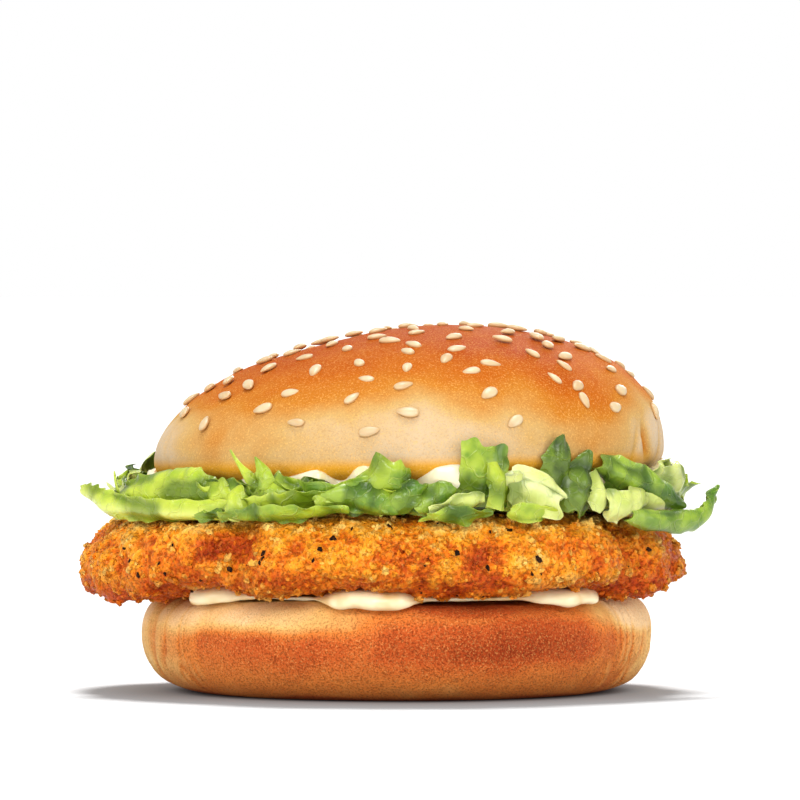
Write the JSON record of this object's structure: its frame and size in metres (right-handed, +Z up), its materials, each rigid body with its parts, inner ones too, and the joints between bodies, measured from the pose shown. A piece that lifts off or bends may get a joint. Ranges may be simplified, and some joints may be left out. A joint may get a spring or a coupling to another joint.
{
  "type": "chicken burger",
  "caption": "Chicken burger: seeded bun, white sauce, craggy breaded chicken patty wider than the bun, and a bed of cut lettuce spilling out all round.",
  "frame": {"origin": "on the table, under the middle of the bun's lower half", "axes": "+Z up, the side shown in the picture faces -Y, +X to the right of that side"},
  "size_m": [0.1213, 0.11, 0.0693],
  "materials": {
    "heel_crust": "soft baked bread crust, fine grain, pale at the cut edge",
    "crown_crust": "thin satin baked crust, golden on top and pale low down, with ivory sesame seeds",
    "breading": "craggy fried breading with a slight sheen of oil and pepper specks",
    "lettuce": "thin crisp leaf, satin, lets light through",
    "sauce": "thick creamy off-white sauce, glossy"
  },
  "bodies": {
    "root": {"heel": "heel_crust", "lower_sauce": "sauce", "patty": "breading", "lettuce": "lettuce", "upper_sauce": "sauce", "crown": "crown_crust"}
  },
  "joints": []
}
